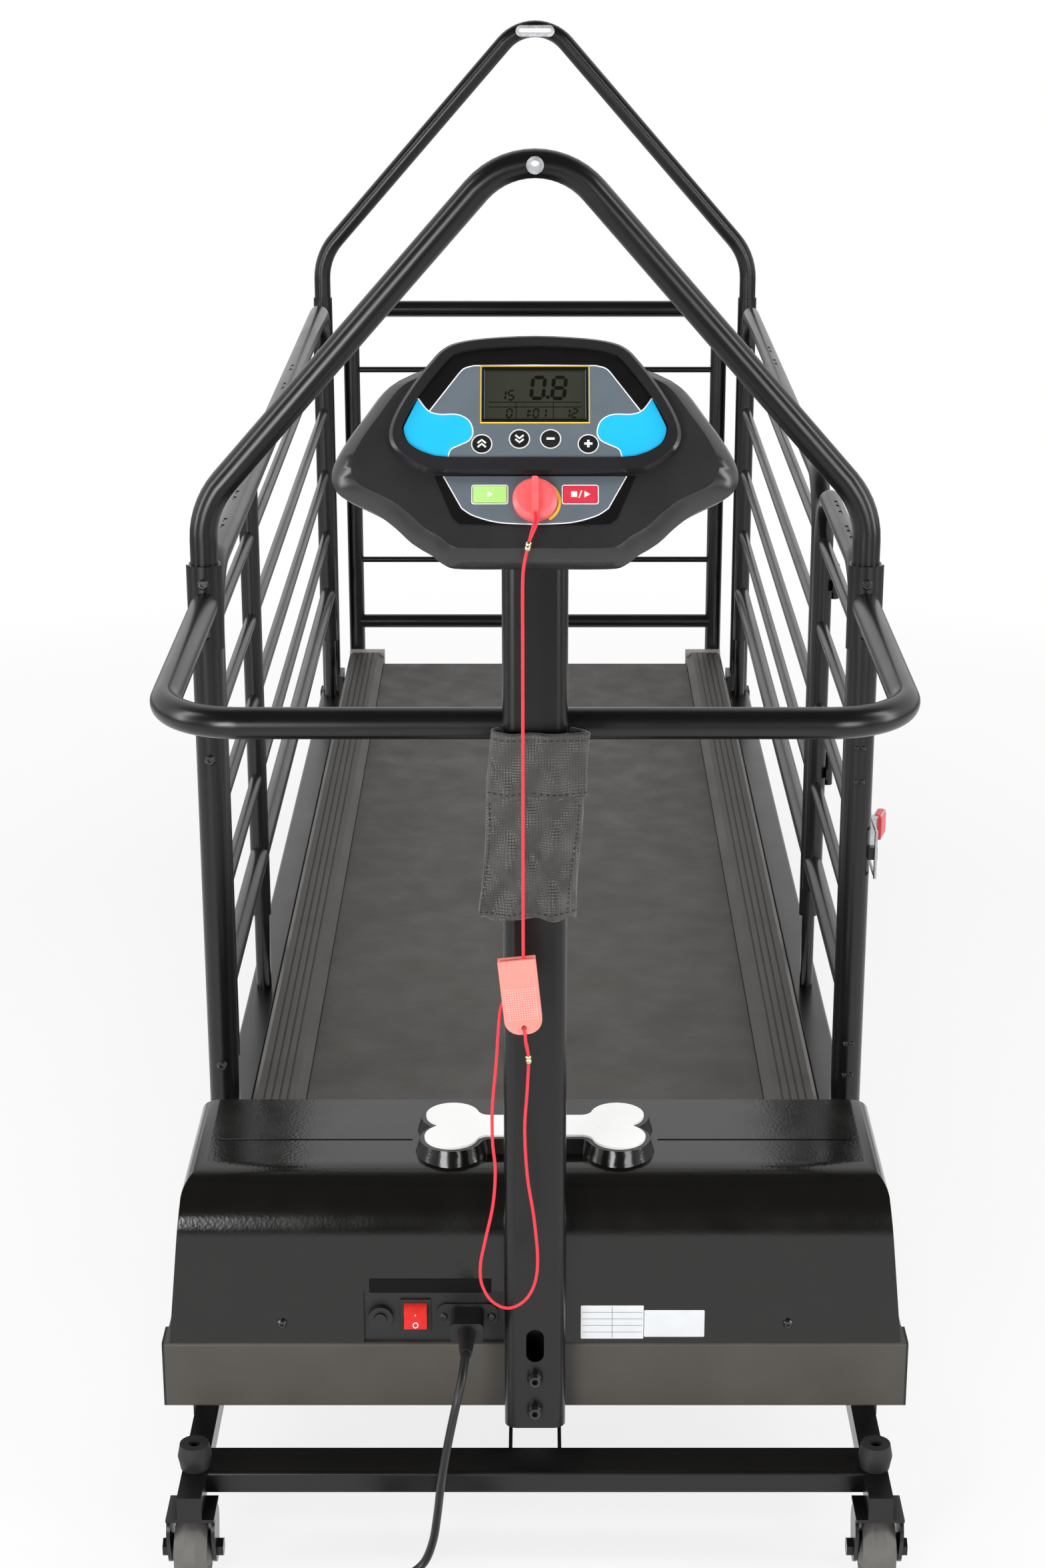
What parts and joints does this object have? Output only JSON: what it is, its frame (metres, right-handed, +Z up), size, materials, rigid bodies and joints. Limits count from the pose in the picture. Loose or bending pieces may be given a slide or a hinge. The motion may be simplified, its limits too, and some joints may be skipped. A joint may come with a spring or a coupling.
{
  "type": "dog treadmill",
  "caption": "Fenced dog treadmill with a running belt, motor hood, console on a mast, leash arches, hinged side door with a toggle latch and a powered incline lift.",
  "frame": {"origin": "on the floor, under the middle of the frame's width and close to the middle of its length", "axes": "+X to the right of a person at the console, +Y along the belt to its rear end, +Z up"},
  "size_m": [0.6429, 2.113, 1.1162],
  "materials": {
    "black_paint": "satin black powder coat",
    "deck_wood": "dark laminate on board",
    "belt_rubber": "fine-ribbed black belting",
    "rubber": "matt black rubber",
    "rail_plastic": "textured dark grey",
    "steel": "bright zinc",
    "roller_steel": "turned steel",
    "motor_paint": "dark grey paint",
    "hood_plastic": "fine-grained black",
    "white_plastic": "smooth white",
    "cover_fabric": "black woven polyester",
    "console_plastic": "fine-grained black",
    "face_print": "printed grey film",
    "display_glass": "grey-green display",
    "bolt_steel": "black oxide",
    "wheel_plastic": "dark grey nylon",
    "green_plastic": "printed green film",
    "red_plastic": "smooth red",
    "red_cord": "braided red cord",
    "clip_plastic": "salmon red"
  },
  "bodies": {
    "frame": {"side_members": "black_paint", "cross_members": "black_paint", "rubber_fittings": "rubber", "deck_board": "deck_wood", "running_belt": "belt_rubber", "side_rails": "rail_plastic", "rail_end_caps": "rail_plastic", "steel_shafts": "steel", "drive_motor": "motor_paint", "drive_belt": "belt_rubber", "controller_box": "motor_paint", "hood": "hood_plastic", "bone_plate": "white_plastic", "inlet_panel": "hood_plastic", "power_inlet": "hood_plastic", "mast": "black_paint", "mast_cover": "cover_fabric", "console_shell": "console_plastic", "console_bezel": "console_plastic", "face_panels": "face_print", "display": "display_glass", "guard_bar": "black_paint", "bolts": "bolt_steel", "posts": "black_paint", "front_arch": "black_paint", "rear_arch": "black_paint", "arch_eyelets": "steel", "left_panel": "black_paint", "right_panel": "black_paint", "door_hinges": "black_paint", "latch_keeper": "black_paint", "rear_guard": "black_paint", "mains_lead": "rubber", "lead_coil": "rubber", "lead_connectors": "rubber"},
    "front_roller": {"front_roller": "roller_steel"},
    "rear_roller": {"rear_roller": "roller_steel"},
    "motor_pulley": {"motor_pulley": "roller_steel"},
    "lift_frame": {"lift_frame": "black_paint", "bumpers": "rubber"},
    "lift_motor": {"lift_motor": "motor_paint"},
    "lift_tube": {"lift_tube": "steel"},
    "caster_left": {"caster_left": "wheel_plastic"},
    "caster_right": {"caster_right": "wheel_plastic"},
    "door": {"door": "black_paint", "latch_base": "steel"},
    "latch_lever": {"latch_lever": "steel"},
    "latch_loop": {"latch_loop": "steel"},
    "incline_up_key": {"incline_up_key": "console_plastic"},
    "incline_down_key": {"incline_down_key": "console_plastic"},
    "slower_key": {"slower_key": "console_plastic"},
    "faster_key": {"faster_key": "console_plastic"},
    "green_key": {"green_key": "green_plastic"},
    "red_key": {"red_key": "red_plastic"},
    "rocker": {"rocker": "red_plastic"},
    "breaker_button": {"breaker_button": "hood_plastic"},
    "safety_key": {"safety_key": "red_plastic", "tether_cord": "red_cord", "tether_clip": "clip_plastic"},
    "clip_jaw": {"clip_jaw": "clip_plastic"}
  },
  "joints": [
    {"name": "front_roller_spin", "type": "hinge", "parent": "frame", "child": "front_roller", "pos_m": [0, -0.7, 0.2067], "axis": [1, 0, 0], "continuous": true},
    {"name": "rear_roller_spin", "type": "hinge", "parent": "frame", "child": "rear_roller", "pos_m": [0, 0.905, 0.2067], "axis": [1, 0, 0], "continuous": true},
    {"name": "motor_pulley_spin", "type": "hinge", "parent": "frame", "child": "motor_pulley", "pos_m": [0, -0.8, 0.215], "axis": [1, 0, 0], "continuous": true},
    {"name": "incline", "type": "hinge", "parent": "frame", "child": "lift_frame", "pos_m": [0, -0.79, 0.078], "axis": [1, 0, 0], "range_deg": [0, 25]},
    {"name": "lift_motor_tilt", "type": "hinge", "parent": "frame", "child": "lift_motor", "pos_m": [0, -0.655, 0.15], "axis": [1, 0, 0], "range_deg": [0, 4]},
    {"name": "lift_tube_slide", "type": "slide", "parent": "lift_motor", "child": "lift_tube", "axis": [0, -1, 0], "range_m": [0, 0.031]},
    {"name": "caster_left_spin", "type": "hinge", "parent": "lift_frame", "child": "caster_left", "pos_m": [-0.281, -0.96, 0.031], "axis": [1, 0, 0], "continuous": true},
    {"name": "caster_right_spin", "type": "hinge", "parent": "lift_frame", "child": "caster_right", "pos_m": [0.281, -0.96, 0.031], "axis": [1, 0, 0], "continuous": true},
    {"name": "door_swing", "type": "hinge", "parent": "frame", "child": "door", "pos_m": [0.3075, -0.1435, 0.478], "axis": [0, 0, 1], "range_deg": [0, 100]},
    {"name": "latch_lever_turn", "type": "hinge", "parent": "door", "child": "latch_lever", "pos_m": [0.312, -0.4805, 0.478], "axis": [0, 0, -1], "range_deg": [0, 110]},
    {"name": "latch_loop_turn", "type": "hinge", "parent": "latch_lever", "child": "latch_loop", "pos_m": [0.312, -0.4735, 0.478], "axis": [0, 0, 1], "range_deg": [0, 110]},
    {"name": "incline_up_key_press", "type": "slide", "parent": "frame", "child": "incline_up_key", "axis": [0, 0.7986, -0.6018], "range_m": [0, 0.001], "stiffness_N_per_m": 300},
    {"name": "incline_down_key_press", "type": "slide", "parent": "frame", "child": "incline_down_key", "axis": [0, 0.7986, -0.6018], "range_m": [0, 0.001], "stiffness_N_per_m": 300},
    {"name": "slower_key_press", "type": "slide", "parent": "frame", "child": "slower_key", "axis": [0, 0.7986, -0.6018], "range_m": [0, 0.001], "stiffness_N_per_m": 300},
    {"name": "faster_key_press", "type": "slide", "parent": "frame", "child": "faster_key", "axis": [0, 0.7986, -0.6018], "range_m": [0, 0.001], "stiffness_N_per_m": 300},
    {"name": "green_key_press", "type": "slide", "parent": "frame", "child": "green_key", "axis": [0, 0.7986, -0.6018], "range_m": [0, 0.001], "stiffness_N_per_m": 300},
    {"name": "red_key_press", "type": "slide", "parent": "frame", "child": "red_key", "axis": [0, 0.7986, -0.6018], "range_m": [0, 0.001], "stiffness_N_per_m": 300},
    {"name": "rocker_tip", "type": "hinge", "parent": "frame", "child": "rocker", "pos_m": [-0.099, -0.882, 0.202], "axis": [-1, 0, 0], "range_deg": [0, 16]},
    {"name": "breaker_trip", "type": "slide", "parent": "frame", "child": "breaker_button", "axis": [0, -1, 0], "range_m": [0, 0.004]},
    {"name": "safety_key_pull", "type": "slide", "parent": "frame", "child": "safety_key", "axis": [0, -0.7986, 0.6018], "range_m": [0, 0.03]},
    {"name": "clip_jaw_open", "type": "hinge", "parent": "safety_key", "child": "clip_jaw", "pos_m": [-0.00947, -0.9733, 0.51344], "axis": [0.9945, 0, 0.1045], "range_deg": [0, 8], "stiffness_Nm_per_rad": 0.05}
  ],
  "couplings": [
    {"joint": "rear_roller_spin", "follows": "front_roller_spin", "ratio": 1},
    {"joint": "motor_pulley_spin", "follows": "front_roller_spin", "ratio": 2.5333},
    {"joint": "lift_motor_tilt", "follows": "incline", "ratio": 0.1439},
    {"joint": "lift_tube_slide", "follows": "incline", "m_per_rad": 0.06837},
    {"joint": "latch_loop_turn", "follows": "latch_lever_turn", "ratio": 1}
  ]
}
